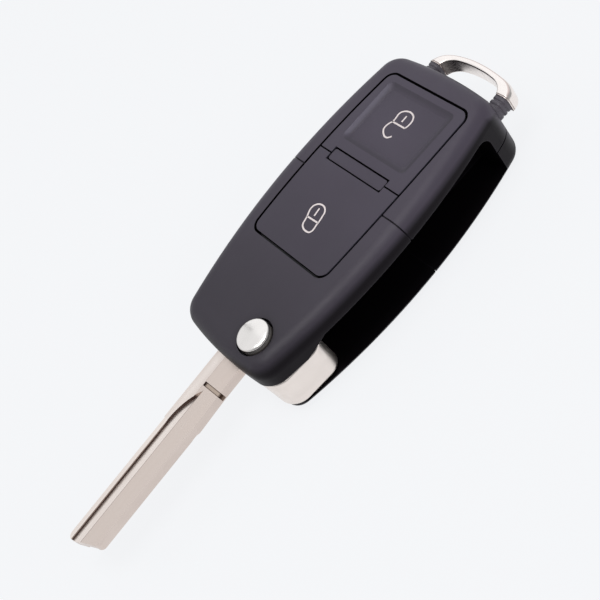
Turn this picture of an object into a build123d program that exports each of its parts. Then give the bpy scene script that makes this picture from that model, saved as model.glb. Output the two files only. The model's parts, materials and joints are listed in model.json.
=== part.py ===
from build123d import *
from math import asin, degrees
import os

# Flip key shell: a folding blade on a sprung hub, a two-button remote behind it.
# Drawn about the blade's turning axis, case lying flat, then moved so that the
# centre of its base is the origin. +X points to the key-ring end, +Z up.

os.makedirs("parts", exist_ok=True)

# Case
case_height = 16.0
front_x = -5.2          # front corners; the front edge bows out from here
rear_x = 59.6           # rear corners
end_bow = 1.1           # how far the front and rear edges bow out
side_bow = 3.9          # how far the two long sides bow out
left_front_y, left_rear_y = 20.0, 24.2
right_front_y, right_rear_y = -6.6, -4.6
corner_r = 4.6
top_round, base_round = 3.4, 2.4
wall = 1.5
roof = 1.6
floor = 1.6
seam_z = 6.8            # upper and lower shells meet here
joint_x = 31.1          # head and remote meet here
seam_width, seam_depth = 0.3, 0.3

# Hub, slot and blade
hub_room_r = 13.2       # sweep of the hub inside the head
hub_base = floor + 0.2
hub_top = case_height - 5.9
rim_z = hub_top + 0.2   # underside of the upper shell over the hub
slot_top = case_height - 3.7            # underside of the upper shell over the slot
slot_wall_y = 1.2       # inner side of the slot
inner_wall = 1.2
slot_start, slot_end = 8.4, 54.5
journal_r = 4.0
run_gap = 0.06          # radial running clearance of every turning fit
slide_gap = 0.08
bore_r = 4.3
collar_r = 5.0
collar_top = hub_top + 1.5
hub_front, hub_back = -5.0, 7.6
hub_near, hub_far = -7.25, 9.2
hub_lean = 1.2          # the front face leans forward by this towards the blade
hub_swell = 0.85        # the near face follows the swell of the case's side
hub_corner_r = (4.2, 3.0, 4.0, 1.6)     # front near, back near, back far, front far
hub_base_round, hub_top_round = 1.1, 0.35
rise_x = 3.4            # from here the rim over the hub climbs to the slot's height
floor_trim = 0.9        # the floor stands back under the hub
toe = 4.0               # the open blade points this much inwards, in degrees

blade_y = 7.8           # blade centre line, off the turning axis
blade_width = 8.2
blade_thick = 2.6
blade_z = hub_top - 1.9
blade_tip = -50.2
tip_slant = 3.2
blade_root = -4.2
stop_x = -12.0          # centre of the cross groove near the root
stop_width, stop_depth = 0.9, 0.5
shoulder_x = -19.6      # the shaft starts here, set in from the shoulders
shaft_step = 0.3
flange_width = 3.0
flange_drop = 0.45      # slope of the flange, border to edge
rail = 1.0              # edge left beside the milled track
rail_drop = 0.35
track_width = 2.7
track_depth = 0.9
run_out_r = 13.5        # the cutter leaves the track on this radius
tang_near, tang_far = 5.2, 9.0
tang_end = 3.5
pin_x, pin_r = 0.4, 0.8

# Release button
button_r = 3.5
button_top = case_height + 0.9
button_flange = 1.2
button_crown, button_round = 0.3, 0.5   # swell and edge of the cap's top
button_stem_r, button_stem = 2.0, 5.4
well_r, well_depth = 3.85, 1.2

# Button field
field_front, field_rear = 15.0, 55.7
field_left, field_right = 20.1, -3.3
field_bow = 1.1
split_x = 35.7
groove = 0.5
key_bottom = case_height - 1.8
key_travel = 0.4
tray_z, tray_thick = case_height - 3.6, 0.8
sheet_thick = 0.5
foot_r = 1.6
lock_xy = (24.0, 8.8)
unlock_xy = (46.2, 8.3)
pad_front, pad_rear = 39.3, 53.8
pad_left, pad_right = 18.3, -0.6
pad_depth, pad_slope = 0.55, 1.35
strip = (split_x - 1.2, split_x + 1.2, 1.2, 17.2)

# Electronics
board_z, board_thick = tray_z - 4.4, 1.0
board_front, board_rear = 17.5, 56.4
board_near, board_far = 3.2, 22.2
switch_size, switch_high = 4.5, 2.2
stem_r = 1.0
cell_r, cell_thick = 10.0, 3.2
cell_x, cell_y = 44.6, 13.0
strap = 0.25
post_r = 1.2
screw_xy = (13.2, 20.4)
screw_boss_r = 2.3
screw_r, screw_head_r, screw_head = 0.9, 1.75, 1.2
chip_size = (9.0, 3.8, 2.4)
chip_corner = (1.4, hub_room_r + inner_wall + 0.2, floor + 0.8)

# Key-ring loop
loop_x = 66.7
loop_near, loop_far = -3.0, 19.5
loop_bar, loop_leg = 1.5, 3.0
loop_near_x, loop_far_x = 65.0, 63.8    # where the arch starts over each leg
loop_corner = 2.4
loop_z, loop_high = case_height * 0.6 - 0.1, 3.8
sleeve_x, sleeve_wall = 62.8, 0.3


def block(x0, x1, y0, y1, z0, z1):
    """A plain box between two corners."""
    size = Box(x1 - x0, y1 - y0, z1 - z0)
    return Pos((x0 + x1) / 2, (y0 + y1) / 2, (z0 + z1) / 2) * size


def disc(x, y, r, z0, z1):
    """An upright cylinder between two heights."""
    return Pos(x, y, (z0 + z1) / 2) * Cylinder(r, z1 - z0)


def upright(face, z0, z1):
    """Stand a flat outline up between two heights."""
    return Pos(0, 0, z0) * extrude(face, z1 - z0)


def rounded(face, r):
    return fillet(face.vertices(), r)


def case_outline(inset=0.0):
    """Barrel-shaped plan of the whole case, or of its inside."""
    x0, x1 = front_x + inset, rear_x - inset
    left0, left1 = left_front_y - inset, left_rear_y - inset
    right0, right1 = right_front_y + inset, right_rear_y + inset
    middle_x = (x0 + x1) / 2
    sides = [
        ThreePointArc((x0, left0), (middle_x, (left0 + left1) / 2 + side_bow), (x1, left1)),
        ThreePointArc((x1, left1), (x1 + end_bow, (left1 + right1) / 2), (x1, right1)),
        ThreePointArc((x1, right1), (middle_x, (right0 + right1) / 2 - side_bow), (x0, right0)),
        ThreePointArc((x0, right0), (x0 - end_bow, (left0 + right0) / 2), (x0, left0)),
    ]
    return rounded(make_face(sides), corner_r - inset)


def field_outline(inset=0.0):
    """Opening in the case top that both push buttons fill, or what lies inside it."""
    x0, x1 = field_front + inset, field_rear - inset
    left, right = field_left - inset, field_right + inset
    middle_x = (x0 + x1) / 2
    sides = [
        ThreePointArc((x0, left), (middle_x, left + field_bow), (x1, left)),
        Line((x1, left), (x1, right)),
        ThreePointArc((x1, right), (middle_x, right - 0.25), (x0, right)),
        Line((x0, right), (x0, left)),
    ]
    return rounded(make_face(sides), 2.4 - inset)


plan = case_outline()
inside = case_outline(wall)
field = field_outline()


def case_body(inset=0.0):
    """The whole case as one rounded block, or a smaller one inside it."""
    body = upright(case_outline(inset), inset, case_height - inset)
    body = fillet(body.faces().sort_by(Axis.Z)[-1].edges(), top_round - inset)
    return fillet(body.faces().sort_by(Axis.Z)[0].edges(), base_round - inset)


far = 100
solid_case = case_body()
head_side = block(-far, joint_x, -far, far, -1, far)
remote_side = block(joint_x, far, -far, far, -1, far)
above = block(-far, far, -far, far, seam_z, far)
below = block(-far, far, -far, far, -1, seam_z)

# Space taken out of the shells for the hub, the slot and the electronics
inner_y = slot_wall_y + inner_wall
hollow = upright(inside, floor, case_height - roof)
hub_room = disc(0, 0, hub_room_r, floor, rim_z)
slot = block(slot_start, slot_end, -far, slot_wall_y, floor, slot_top)
slot_ends = slot.faces().sort_by(Axis.X)[-1].edges().filter_by(Axis.Z, reverse=True)
slot = fillet(slot_ends.filter_by(Axis.Y).sort_by(Axis.Z)[-1:], 2.5)
slot = slot + block(0, slot_start + 1, -far, slot_wall_y, floor, rim_z)
rise_end = slot_start + 0.3
rise = make_face(Polyline(
    (rise_x, rim_z - 1), (rise_x, rim_z), (rise_end, slot_top), (rise_end, rim_z - 1), close=True))
slot = slot + Pos(0, -collar_r - 0.6, 0) * extrude(Plane.XZ * rise, far)
slot_back = block(slot_end, slot_end + inner_wall, -far, inner_y, 0, tray_z)
slot_side = block(9, slot_end + inner_wall, slot_wall_y, inner_y, 0, tray_z)
ring = disc(0, 0, hub_room_r + inner_wall, floor, case_height - roof + 0.2)
ring = ring - disc(0, 0, hub_room_r, 0, case_height)
ring = ring & block(-far, far, slot_wall_y, far, 0, far)
boss = disc(0, 0, collar_r + run_gap + 1.5, rim_z, case_height - 0.5)
screw_boss = disc(*screw_xy, screw_boss_r, floor, case_height - roof + 0.2)
inner_ribs = (ring + boss + slot_side + slot_back + screw_boss) & solid_case

# Shallow grooves where the four shells meet
seams = block(joint_x - seam_width / 2, joint_x + seam_width / 2, -far, far, -1, far)
seams = seams + block(-far, far, -far, far, seam_z - seam_width / 2, seam_z + seam_width / 2)
seams = seams - case_body(seam_depth)

# Head: upper shell
shell = (solid_case - hollow) + inner_ribs - hub_room - slot - seams
head = shell & head_side
head_upper_shell = head & above
head_upper_shell = head_upper_shell - upright(field, tray_z, far)
head_upper_shell = head_upper_shell - disc(0, 0, collar_r + run_gap, 0, tray_z)
head_upper_shell = head_upper_shell - disc(0, 0, button_r + slide_gap, 0, far)
head_upper_shell = head_upper_shell - disc(0, 0, well_r, case_height - well_depth, far)
head_upper_shell = head_upper_shell - disc(*screw_xy, screw_r, 0, tray_z - 0.4)

# Head: lower shell
head_lower_shell = head & below
head_lower_shell = head_lower_shell - disc(0, 0, journal_r + run_gap, -1, floor + 1)
head_lower_shell = head_lower_shell - disc(*screw_xy, screw_r + 0.2, -1, far)
head_lower_shell = head_lower_shell - disc(*screw_xy, screw_head_r + 0.15, -1, screw_head)
chip_x, chip_y, chip_z = chip_corner
chip_rest = Part()
for x in (chip_x + 0.8, chip_x + chip_size[0] - 1.8):
    chip_rest = chip_rest + block(x, x + 1, chip_y - 0.3, left_front_y + 1.4, floor - 0.1, chip_z)
chip_rest = chip_rest - disc(0, 0, hub_room_r + 0.5, 0, far)
head_lower_shell = head_lower_shell + chip_rest
under_hub = block(-far, slot_start, -far, hub_room_r - 1, -1, floor + 0.1)
head_lower_shell = head_lower_shell - (under_hub - upright(Pos(floor_trim, 0) * plan, -1, far))

# Remote: upper shell with the tray under the buttons
remote = shell & remote_side
remote_upper_shell = (remote & above) - upright(field, case_height - roof - 1, far)
tray_top = tray_z + tray_thick
tray = upright(inside, tray_z, tray_top) & remote_side
tongue = block(field_front - 0.5, joint_x, field_right - 1, field_left + 1.6, tray_z, tray_top)
tongue = tongue - disc(*screw_xy, screw_boss_r + slide_gap, 0, far)
tongue = tongue - disc(0, 0, hub_room_r + inner_wall + slide_gap, 0, far)
posts = [(34.3, 5.6), (34.3, 19.8), (55.0, 5.6), (55.0, 19.8)]
front_posts = [(19.4, 5.2), (19.4, 20.2)]
remote_upper_shell = remote_upper_shell + tray + tongue
for x, y in posts + front_posts:
    remote_upper_shell = remote_upper_shell + disc(x, y, post_r, board_z + board_thick, tray_z)
for x, y in (lock_xy, unlock_xy):
    remote_upper_shell = remote_upper_shell - disc(x, y, foot_r + 0.4, 0, far)

# Remote: lower shell, which is also the battery cover
remote_lower_shell = remote & below
front_wall = block(joint_x, joint_x + inner_wall, inner_y, far, floor - 0.2, board_z - 1.2)
front_wall = front_wall & solid_case
remote_lower_shell = remote_lower_shell + front_wall
for x, y in posts:
    remote_lower_shell = remote_lower_shell + disc(x, y, post_r, floor - 0.2, board_z)
coin_slot = block(cell_x - 4, cell_x + 4, cell_y - 0.7, cell_y + 0.7, -1, 0.4)
remote_lower_shell = remote_lower_shell - coin_slot

# Blade: steel blank with a cross groove and a milled track on each side
edge_far = blade_y + blade_width / 2
edge_near = blade_y - blade_width / 2
blade_top = blade_z + blade_thick / 2
blade_low = blade_z - blade_thick / 2
step_x = shoulder_x - 1.9
root_near = edge_near + 0.4
shaft_near, shaft_far = edge_near + shaft_step, edge_far - shaft_step
blank = make_face(Polyline(
    (blade_root, edge_far), (blade_root, root_near), (stop_x, root_near),
    (shoulder_x, edge_near), (shoulder_x - 0.8, shaft_near),
    (blade_tip + tip_slant, shaft_near), (blade_tip, shaft_far),
    (step_x, shaft_far), (step_x, edge_far), close=True))
blank = fillet(blank.vertices().sort_by(Axis.X)[:2], 1.2)
key_blade = upright(blank, blade_low, blade_top)
key_blade = key_blade + block(blade_root - 0.1, tang_end, tang_near, tang_far, blade_low, blade_top)

track_far = shaft_far - rail
track_near = track_far - track_width
run_end = stop_x - 1.3
run_drop = run_out_r - (run_out_r ** 2 - (run_end - step_x) ** 2) ** 0.5
half_run = (run_end - step_x) / 2
half_drop = run_out_r - (run_out_r ** 2 - half_run ** 2) ** 0.5
run_out = make_face([
    Line((-far, track_near), (-far, track_far)),
    Line((-far, track_far), (step_x, track_far)),
    ThreePointArc(
        (step_x, track_far), (step_x + half_run, track_far - half_drop), (run_end, track_far - run_drop)),
    Line((run_end, track_far - run_drop), (step_x + half_run, track_near)),
    Line((step_x + half_run, track_near), (-far, track_near)),
])
track = upright(run_out, blade_top - track_depth, far)
rail_cut = block(-far, step_x, track_far - 0.1, far, blade_top - rail_drop, far)

# The flange slopes from its border down to the far edge, outside the run-out arc
border = edge_far - flange_width
slope = make_face(Polyline(
    (border, blade_top - 0.12), (border, blade_top + 1),
    (edge_far + 1, blade_top + 1), (edge_far, blade_top - flange_drop), close=True))
flange_cut = Pos(step_x, 0, 0) * extrude(Plane.YZ * slope, blade_root - 1.2 - step_x)
cutter_side = disc(step_x, track_far - run_out_r, run_out_r, 0, far)
cutter_side = cutter_side & block(-far, run_end, -far, far, 0, far)
flange_cut = flange_cut - cutter_side
cross_groove = block(
    stop_x - stop_width / 2, stop_x + stop_width / 2, -far, border, blade_top - stop_depth, far)
groove_end = block(
    stop_x - stop_width / 2, stop_x + stop_width / 2, -far, root_near + stop_depth, blade_z, far)
milling = track + rail_cut + flange_cut + cross_groove + groove_end
turned_over = Pos(0, 2 * blade_y, 2 * blade_z) * Rot(180, 0, 0)
key_blade = key_blade - milling - turned_over * milling

blade_pin = disc(pin_x, (tang_near + tang_far) / 2, pin_r, hub_base + 0.8, hub_top - 0.4)
tang = block(blade_root - 0.1, tang_end, tang_near, tang_far, blade_low, blade_top)
key_blade = key_blade - blade_pin

# Hub that carries the blade
hub_plan = make_face(Polyline(
    (hub_front, hub_near), (hub_back, hub_near - hub_swell), (hub_back, hub_far),
    (hub_front - hub_lean, hub_far), close=True))
for side, r in zip(((-1, -1), (1, -1), (1, 1), (-1, 1)), hub_corner_r):
    corner = hub_plan.vertices().sort_by(lambda v: v.X * side[0] + v.Y * side[1])[-1:]
    hub_plan = fillet(corner, r)
blade_carrier = upright(hub_plan, hub_base, hub_top)
blade_carrier = fillet(blade_carrier.faces().sort_by(Axis.Z)[0].edges(), hub_base_round)
blade_carrier = fillet(blade_carrier.faces().sort_by(Axis.Z)[-1].edges(), hub_top_round)
blade_carrier = blade_carrier + disc(0, 0, collar_r, hub_top - 0.5, collar_top)
blade_carrier = blade_carrier + disc(0, 0, journal_r, 0.3, hub_base + 1)
blade_carrier = blade_carrier - disc(0, 0, bore_r, hub_base + 1.4, far)
driver_slot = block(-2.6, 2.6, -0.5, 0.5, 0, 1.1) + block(-0.5, 0.5, -2.6, 2.6, 0, 1.1)
blade_carrier = blade_carrier - driver_slot
blade_pocket = block(-far, blade_root, root_near, far, blade_low, blade_top)
turning = Rot(0, 0, toe)
blade_carrier = blade_carrier - turning * (blade_pocket + tang + blade_pin)

# Release button: bright cap, retaining flange and hollow stem for the spring
flange_top = tray_z - 0.2
flange_low = flange_top - button_flange
flange_r, stem_low = bore_r - slide_gap, flange_low - button_stem
crown_x, crown_z = button_r - button_round, button_top - button_crown
bend = 0.29 * button_round
crown_r = (crown_x ** 2 + button_crown ** 2) / (2 * button_crown)
crown = JernArc((0, button_top), (1, 0), crown_r, -degrees(asin(crown_x / crown_r)))
button_profile = make_face([
    crown,
    Polyline(
        (0, button_top), (0, stem_low), (button_stem_r, stem_low), (button_stem_r, flange_low),
        (flange_r, flange_low), (flange_r, flange_top), (button_r, flange_top),
        (button_r, crown_z - button_round)),
    ThreePointArc((button_r, crown_z - button_round), (button_r - bend, crown_z - bend), crown @ 1),
])
release_button = revolve(Plane.XZ * button_profile, Axis.Z)

# Spring: lies round the stem between the hub's bore floor and the flange
spring_floor = hub_base + 1.4
spring_wire = 0.6
spring_mean = (bore_r - slide_gap + button_stem_r) / 2
spring_low, spring_up = spring_floor + spring_wire / 2, flange_low - spring_wire / 2
coil_path = Helix(
    pitch=(spring_up - spring_low) / 3, height=spring_up - spring_low, radius=spring_mean)
coil_section = Plane(coil_path @ 0, z_dir=coil_path % 0) * RegularPolygon(spring_wire / 2, 6)
coil = Pos(0, 0, spring_low) * sweep(coil_section, path=coil_path, is_frenet=True)
outer_r, inner_r = spring_mean + spring_wire / 2, spring_mean - spring_wire / 2
end_ring = Cylinder(outer_r, spring_wire) - Cylinder(inner_r, spring_wire)
flip_spring = coil + Pos(0, 0, spring_low) * end_ring + Pos(0, 0, spring_up) * end_ring

# Push buttons, bridge strip between them and the rubber sheet below
key_field = field_outline(groove)
strip_x0, strip_x1, strip_y0, strip_y1 = strip
notch = block(strip_x0 - 0.3, strip_x1 + 0.3, strip_y0 - 0.3, strip_y1 + 0.3, 0, far)
keys = upright(key_field, key_bottom, case_height) - notch
lock_button = keys & block(0, split_x - 0.15, -far, far, 0, far)
unlock_button = keys & block(split_x + 0.15, far, -far, far, 0, far)
pad_mid = ((pad_front + pad_rear) / 2, (pad_left + pad_right) / 2)
pad_long, pad_wide = pad_rear - pad_front, pad_left - pad_right
pad_mouth = rounded(Pos(*pad_mid, case_height) * Rectangle(pad_long, pad_wide), 1.2)
pad_bed = Pos(*pad_mid, case_height - pad_depth) * Rectangle(
    pad_long - 2 * pad_slope, pad_wide - 2 * pad_slope)
unlock_button = unlock_button - loft([pad_mouth, rounded(pad_bed, 0.8)])
stem_top = board_z + board_thick + switch_high + 0.6
lock_button = lock_button + disc(*lock_xy, foot_r, stem_top, key_bottom + 0.2)
unlock_button = unlock_button + disc(*unlock_xy, foot_r, stem_top, key_bottom + 0.2)
button_bridge = block(strip_x0, strip_x1, strip_y0, strip_y1, tray_z + tray_thick, case_height - 0.15)
button_bridge = fillet(button_bridge.edges().filter_by(Axis.Z), 0.5)

sheet_z = tray_z + tray_thick
keypad_membrane = upright(field_outline(0.2), sheet_z, sheet_z + sheet_thick)
keypad_membrane = keypad_membrane - block(
    strip_x0 - 0.1, strip_x1 + 0.1, strip_y0 - 0.1, strip_y1 + 0.1, 0, far)
for x, y in (lock_xy, unlock_xy):
    keypad_membrane = keypad_membrane - disc(x, y, foot_r + 0.2, 0, far)

# Circuit board and what is soldered on it
board_top = board_z + board_thick
board_plan = Pos((board_front + board_rear) / 2, (board_near + board_far) / 2) * Rectangle(
    board_rear - board_front, board_far - board_near)
circuit_board = upright(rounded(board_plan, 1.8), board_z, board_top)


def tact_switch(x, y):
    """Square switch body and the stem that stands out of it."""
    half = switch_size / 2
    body = block(x - half, x + half, y - half, y + half, board_top, board_top + switch_high)
    stem_base = board_top + switch_high - 0.5
    body = body - disc(x, y, stem_r + 0.05, stem_base - key_travel, far)
    return body, disc(x, y, stem_r, stem_base, stem_top)


lock_switch, lock_stem = tact_switch(*lock_xy)
unlock_switch, unlock_stem = tact_switch(*unlock_xy)

controller = block(38.4, 42.4, 13.2, 18.2, board_top + 0.1, board_top + 1.4)
for i in range(4):
    y = 13.6 + i * 1.27
    controller = controller + block(37.6, 38.5, y, y + 0.4, board_top, board_top + 0.4)
    controller = controller + block(42.3, 43.2, y, y + 0.4, board_top, board_top + 0.4)
resonator = disc(31.0, 17.0, 2.2, board_top, board_top + 1.6)
chip_capacitors = Part()
for x, y in ((28.0, 5.6), (31.0, 5.6), (28.0, 8.0), (38.0, 19.4), (41.0, 19.4), (49.0, 16.0)):
    chip_capacitors = chip_capacitors + block(x, x + 1.6, y, y + 0.8, board_top, board_top + 0.7)
antenna_loop = Part()
track_end = board_rear - 3.6
for edge, inwards in ((board_near, 1), (board_far, -1)):
    track_y = sorted((edge + 0.5 * inwards, edge + 1.1 * inwards))
    antenna_loop = antenna_loop + block(
        board_front + 4, track_end, *track_y, board_top, board_top + 0.12)
antenna_loop = antenna_loop + block(
    track_end - 0.6, track_end, board_near + 0.5, board_far - 0.5, board_top, board_top + 0.12)

cell_z = floor + strap
coin_cell = disc(cell_x, cell_y, cell_r, cell_z, cell_z + cell_thick - 0.5)
coin_cell = coin_cell + disc(cell_x, cell_y, cell_r - 0.9, cell_z + 1, cell_z + cell_thick)
coin_cell = coin_cell - (disc(cell_x, cell_y, cell_r + 1, 0, cell_z + 0.4) - disc(
    cell_x, cell_y, cell_r - 0.5, 0, cell_z + 0.4))
near_strap, far_strap = cell_y - 2, cell_y + 2
riser_x = cell_x - cell_r - 1
battery_contact_negative = block(riser_x, cell_x + 2, near_strap, far_strap, floor, cell_z)
battery_contact_negative = battery_contact_negative + block(
    riser_x, riser_x + strap, near_strap, far_strap, floor, board_z)
strap_z = cell_z + cell_thick
riser_x = cell_x + cell_r + 1.3
battery_contact_positive = block(cell_x, riser_x, near_strap, far_strap, strap_z, strap_z + strap)
battery_contact_positive = battery_contact_positive + block(
    riser_x - strap, riser_x, near_strap, far_strap, strap_z, board_z)

# Transponder chip in the head, and the screw that closes the head
transponder = block(
    chip_x, chip_x + chip_size[0], chip_y, chip_y + chip_size[1], chip_z, chip_z + chip_size[2])
transponder = fillet(transponder.edges().filter_by(Axis.Z), 0.6)
case_screw = disc(*screw_xy, screw_head_r, 0.25, screw_head)
case_screw = case_screw + disc(*screw_xy, screw_r, screw_head - 0.1, tray_z - 1)
for turn in (0, 90):
    case_screw = case_screw - Pos(*screw_xy, 0.4) * Rot(0, 0, turn) * Box(2.2, 0.5, 0.8)

# Key-ring loop: flat bright bar, thicker at its two ends, held in two black sleeves
loop_low, loop_up = loop_z - loop_high / 2, loop_z + loop_high / 2
loop_mid = (loop_near + loop_far) / 2


def loop_outline(grow_side, grow_end):
    """Arch from leg to leg with rounded shoulders."""
    near, away = loop_near + grow_side, loop_far - grow_side
    near_x, away_x = loop_near_x - grow_end, loop_far_x - grow_end
    arch = [
        Line((rear_x - 2, near), (near_x, near)),
        ThreePointArc((near_x, near), (loop_x - grow_end, loop_mid), (away_x, away)),
        Line((away_x, away), (rear_x - 2, away)),
        Line((rear_x - 2, away), (rear_x - 2, near)),
    ]
    face = make_face(arch)
    return fillet(face.vertices().sort_by(Axis.X)[-2:], loop_corner - 0.4 * grow_end)


loop_ring = upright(loop_outline(0, 0) - loop_outline(loop_leg, loop_bar), loop_low, loop_up)
ring_sleeves = Part()
for y in (loop_near + loop_leg / 2, loop_far - loop_leg / 2):
    half = loop_leg / 2 + sleeve_wall
    ring_sleeves = ring_sleeves + block(
        rear_x - 0.6, sleeve_x, y - half, y + half, loop_low - sleeve_wall, loop_up + sleeve_wall)
ring_sleeves = fillet(ring_sleeves.edges().filter_by(Axis.X), 0.5)
ring_sleeves = ring_sleeves - solid_case
sleeve_groove = block(sleeve_x - 0.85, sleeve_x - 0.55, -far, far, 0, far)
sleeve_core = Part()
for y in (loop_near + loop_leg / 2, loop_far - loop_leg / 2):
    half = loop_leg / 2 + sleeve_wall / 2
    sleeve_core = sleeve_core + block(
        rear_x, far, y - half, y + half, loop_low - sleeve_wall / 2, loop_up + sleeve_wall / 2)
ring_sleeves = ring_sleeves - (sleeve_groove - sleeve_core)
key_ring_bail = loop_ring & block(sleeve_x - 1.4, far, -far, far, 0, far)
ring_sleeves = ring_sleeves - key_ring_bail

parts = {
    "head_upper_shell": head_upper_shell,
    "head_lower_shell": head_lower_shell,
    "remote_upper_shell": remote_upper_shell,
    "remote_lower_shell": remote_lower_shell,
    "key_blade": turning * key_blade,
    "blade_carrier": blade_carrier,
    "blade_pin": turning * blade_pin,
    "release_button": release_button,
    "flip_spring": flip_spring,
    "lock_button": lock_button,
    "unlock_button": unlock_button,
    "button_bridge": button_bridge,
    "keypad_membrane": keypad_membrane,
    "circuit_board": circuit_board,
    "lock_switch": lock_switch,
    "unlock_switch": unlock_switch,
    "lock_stem": lock_stem,
    "unlock_stem": unlock_stem,
    "controller": controller,
    "resonator": resonator,
    "chip_capacitors": chip_capacitors,
    "antenna_loop": antenna_loop,
    "coin_cell": coin_cell,
    "battery_contact_negative": battery_contact_negative,
    "battery_contact_positive": battery_contact_positive,
    "transponder": transponder,
    "case_screw": case_screw,
    "key_ring_bail": key_ring_bail,
    "ring_sleeves": ring_sleeves,
}

# The origin is the middle of the whole key's base
boxes = [part.bounding_box() for part in parts.values()]
low_x, high_x = min(b.min.X for b in boxes), max(b.max.X for b in boxes)
low_y, high_y = min(b.min.Y for b in boxes), max(b.max.Y for b in boxes)
to_origin = Pos(-(low_x + high_x) / 2, -(low_y + high_y) / 2, 0)
print("turning axis at", round(-(low_x + high_x) / 2, 4), round(-(low_y + high_y) / 2, 4))
for name, part in parts.items():
    export_step(to_origin * part, f"parts/{name}.step")
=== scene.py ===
import json
import math

import bmesh
import bpy
from mathutils import Euler, Matrix, Vector


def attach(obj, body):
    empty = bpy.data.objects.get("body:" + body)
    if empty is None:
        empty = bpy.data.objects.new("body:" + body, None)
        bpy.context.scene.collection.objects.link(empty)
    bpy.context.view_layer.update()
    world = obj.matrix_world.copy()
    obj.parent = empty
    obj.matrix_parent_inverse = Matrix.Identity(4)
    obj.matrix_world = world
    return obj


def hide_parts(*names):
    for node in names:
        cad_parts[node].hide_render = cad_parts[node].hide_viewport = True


# Flip key shell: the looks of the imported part. Lengths are in millimetres about the blade's
# turning axis, with the key lying flat, and at() turns them into the frame.

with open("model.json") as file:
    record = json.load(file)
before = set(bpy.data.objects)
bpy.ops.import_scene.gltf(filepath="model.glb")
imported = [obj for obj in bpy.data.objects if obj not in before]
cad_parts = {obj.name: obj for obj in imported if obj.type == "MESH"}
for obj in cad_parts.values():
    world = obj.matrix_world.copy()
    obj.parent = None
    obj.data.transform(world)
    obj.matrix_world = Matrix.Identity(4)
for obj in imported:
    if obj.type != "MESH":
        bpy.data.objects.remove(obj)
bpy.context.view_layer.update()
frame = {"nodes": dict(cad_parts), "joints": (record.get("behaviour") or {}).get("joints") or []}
node = frame["nodes"]
axis = Vector(next(j for j in frame["joints"] if j["name"] == "blade_fold")["pos_m"])

MM = 0.001

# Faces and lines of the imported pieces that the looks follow
CASE_TOP = 16.0
PAD_BED = 15.45                     # floor of the hollow in the unlock button
PAD_SLOPE = (15.55, 15.8)           # painted shade and painted highlight on that hollow's border fade in over these heights
TOE = math.radians(4)               # the open blade points this much inwards
BLADE_TOP = 9.5
TRACK_BED = 8.6
TRACK_NEAR, TRACK_FAR = 7.9, 10.6   # sides of the milled track; the rail lies beyond it
FLANGE_Y = 8.9                      # the flange at the blade's root lies beyond this line
STEP_X = -21.5                      # end of the flange towards the tip
RUN_END = -13.3                     # where the track has run out
STOP_X, STOP_HALF = -12.0, 0.46     # centre line of the cross groove, and half its width
GROOVE_LOW = 7.5                    # the upper face's groove lies above this height
GROOVE_EDGE_SHADE = (0.26, 0.36)           # painted shade darkens its two edges between these distances from the centre line
NEAR_WALL = (6.5, 6.0)              # the blade's near wall lies on the near side of these lines


def at(x, y, z):
    """A point given in millimetres about the turning axis."""
    return Vector((axis.x + x * MM, axis.y + y * MM, z * MM))


# Node trees

def fill(tree, socket, value):
    """Link an output to a socket, or set the socket to a value."""
    if isinstance(value, bpy.types.NodeSocket):
        tree.links.new(value, socket)
    else:
        socket.default_value = value


def put(tree, kind, **sockets):
    """Add a node and fill its sockets."""
    made = tree.nodes.new(kind)
    for name, value in sockets.items():
        wanted = name.replace("_", " ").lower()
        fill(tree, next(s for s in made.inputs if s.name.lower() == wanted and s.enabled), value)
    return made


def sums(tree, how, *values, clamp=False):
    """A Math node on one to three values or outputs."""
    made = tree.nodes.new("ShaderNodeMath")
    made.operation = how
    made.use_clamp = clamp
    for socket, value in zip(made.inputs, values):
        fill(tree, socket, value)
    return made.outputs[0]


def times(tree, first, *others):
    """The product of two or more values or outputs."""
    for other in others:
        first = sums(tree, "MULTIPLY", first, other)
    return first


def larger(tree, a, b):
    """The larger of two values or outputs."""
    return sums(tree, "MAXIMUM", a, b)


def plus(tree, base, mask, amount):
    """A base value with an amount added where a mask is on."""
    return sums(tree, "MULTIPLY_ADD", mask, amount, base)


def spread(tree, value, low, high, to_low=0.0, to_high=1.0):
    """Stretch a value's range low..high over to_low..to_high."""
    made = put(tree, "ShaderNodeMapRange", Value=value, From_Min=low, From_Max=high,
               To_Min=to_low, To_Max=to_high)
    return made.outputs["Result"]


def close_to(tree, value, middle, half, soft):
    """One within half of a middle value, fading out over a soft border."""
    away = sums(tree, "ABSOLUTE", sums(tree, "SUBTRACT", value, middle))
    return spread(tree, away, half, half + soft, 1.0, 0.0)


def blend(tree, share, a, b):
    """Mix two colours, each a triple or an output, by a share."""
    made = tree.nodes.new("ShaderNodeMix")
    made.data_type = "RGBA"
    fill(tree, made.inputs["Factor"], share)
    for socket, colour in ((made.inputs[6], a), (made.inputs[7], b)):
        fill(tree, socket, colour if isinstance(colour, bpy.types.NodeSocket) else (*colour, 1.0))
    return made.outputs[2]


def tinted(colour, by, most=1.0):
    """A colour made lighter or darker."""
    return [min(c * by, most) for c in colour]


def parts_of(tree, vector):
    """The X, Y and Z outputs of a vector."""
    return put(tree, "ShaderNodeSeparateXYZ", Vector=vector).outputs


def stretched(tree, scale, turn=0.0):
    """Object coordinates, scaled apart along each axis."""
    place = tree.nodes.new("ShaderNodeTexCoord")
    made = put(tree, "ShaderNodeMapping", Vector=place.outputs["Object"])
    made.inputs["Scale"].default_value = scale
    made.inputs["Rotation"].default_value = (0, 0, turn)
    return made.outputs["Vector"]


def uneven(tree, scale, detail, low, high, least):
    """A patchy share from least to one, from a noise read between low and high."""
    patch = put(tree, "ShaderNodeTexNoise", Vector=stretched(tree, (1, 1, 1)), Scale=scale, Detail=detail)
    return spread(tree, patch.outputs["Fac"], low, high, least, 1.0)


# Effects that several finishes share

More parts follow.
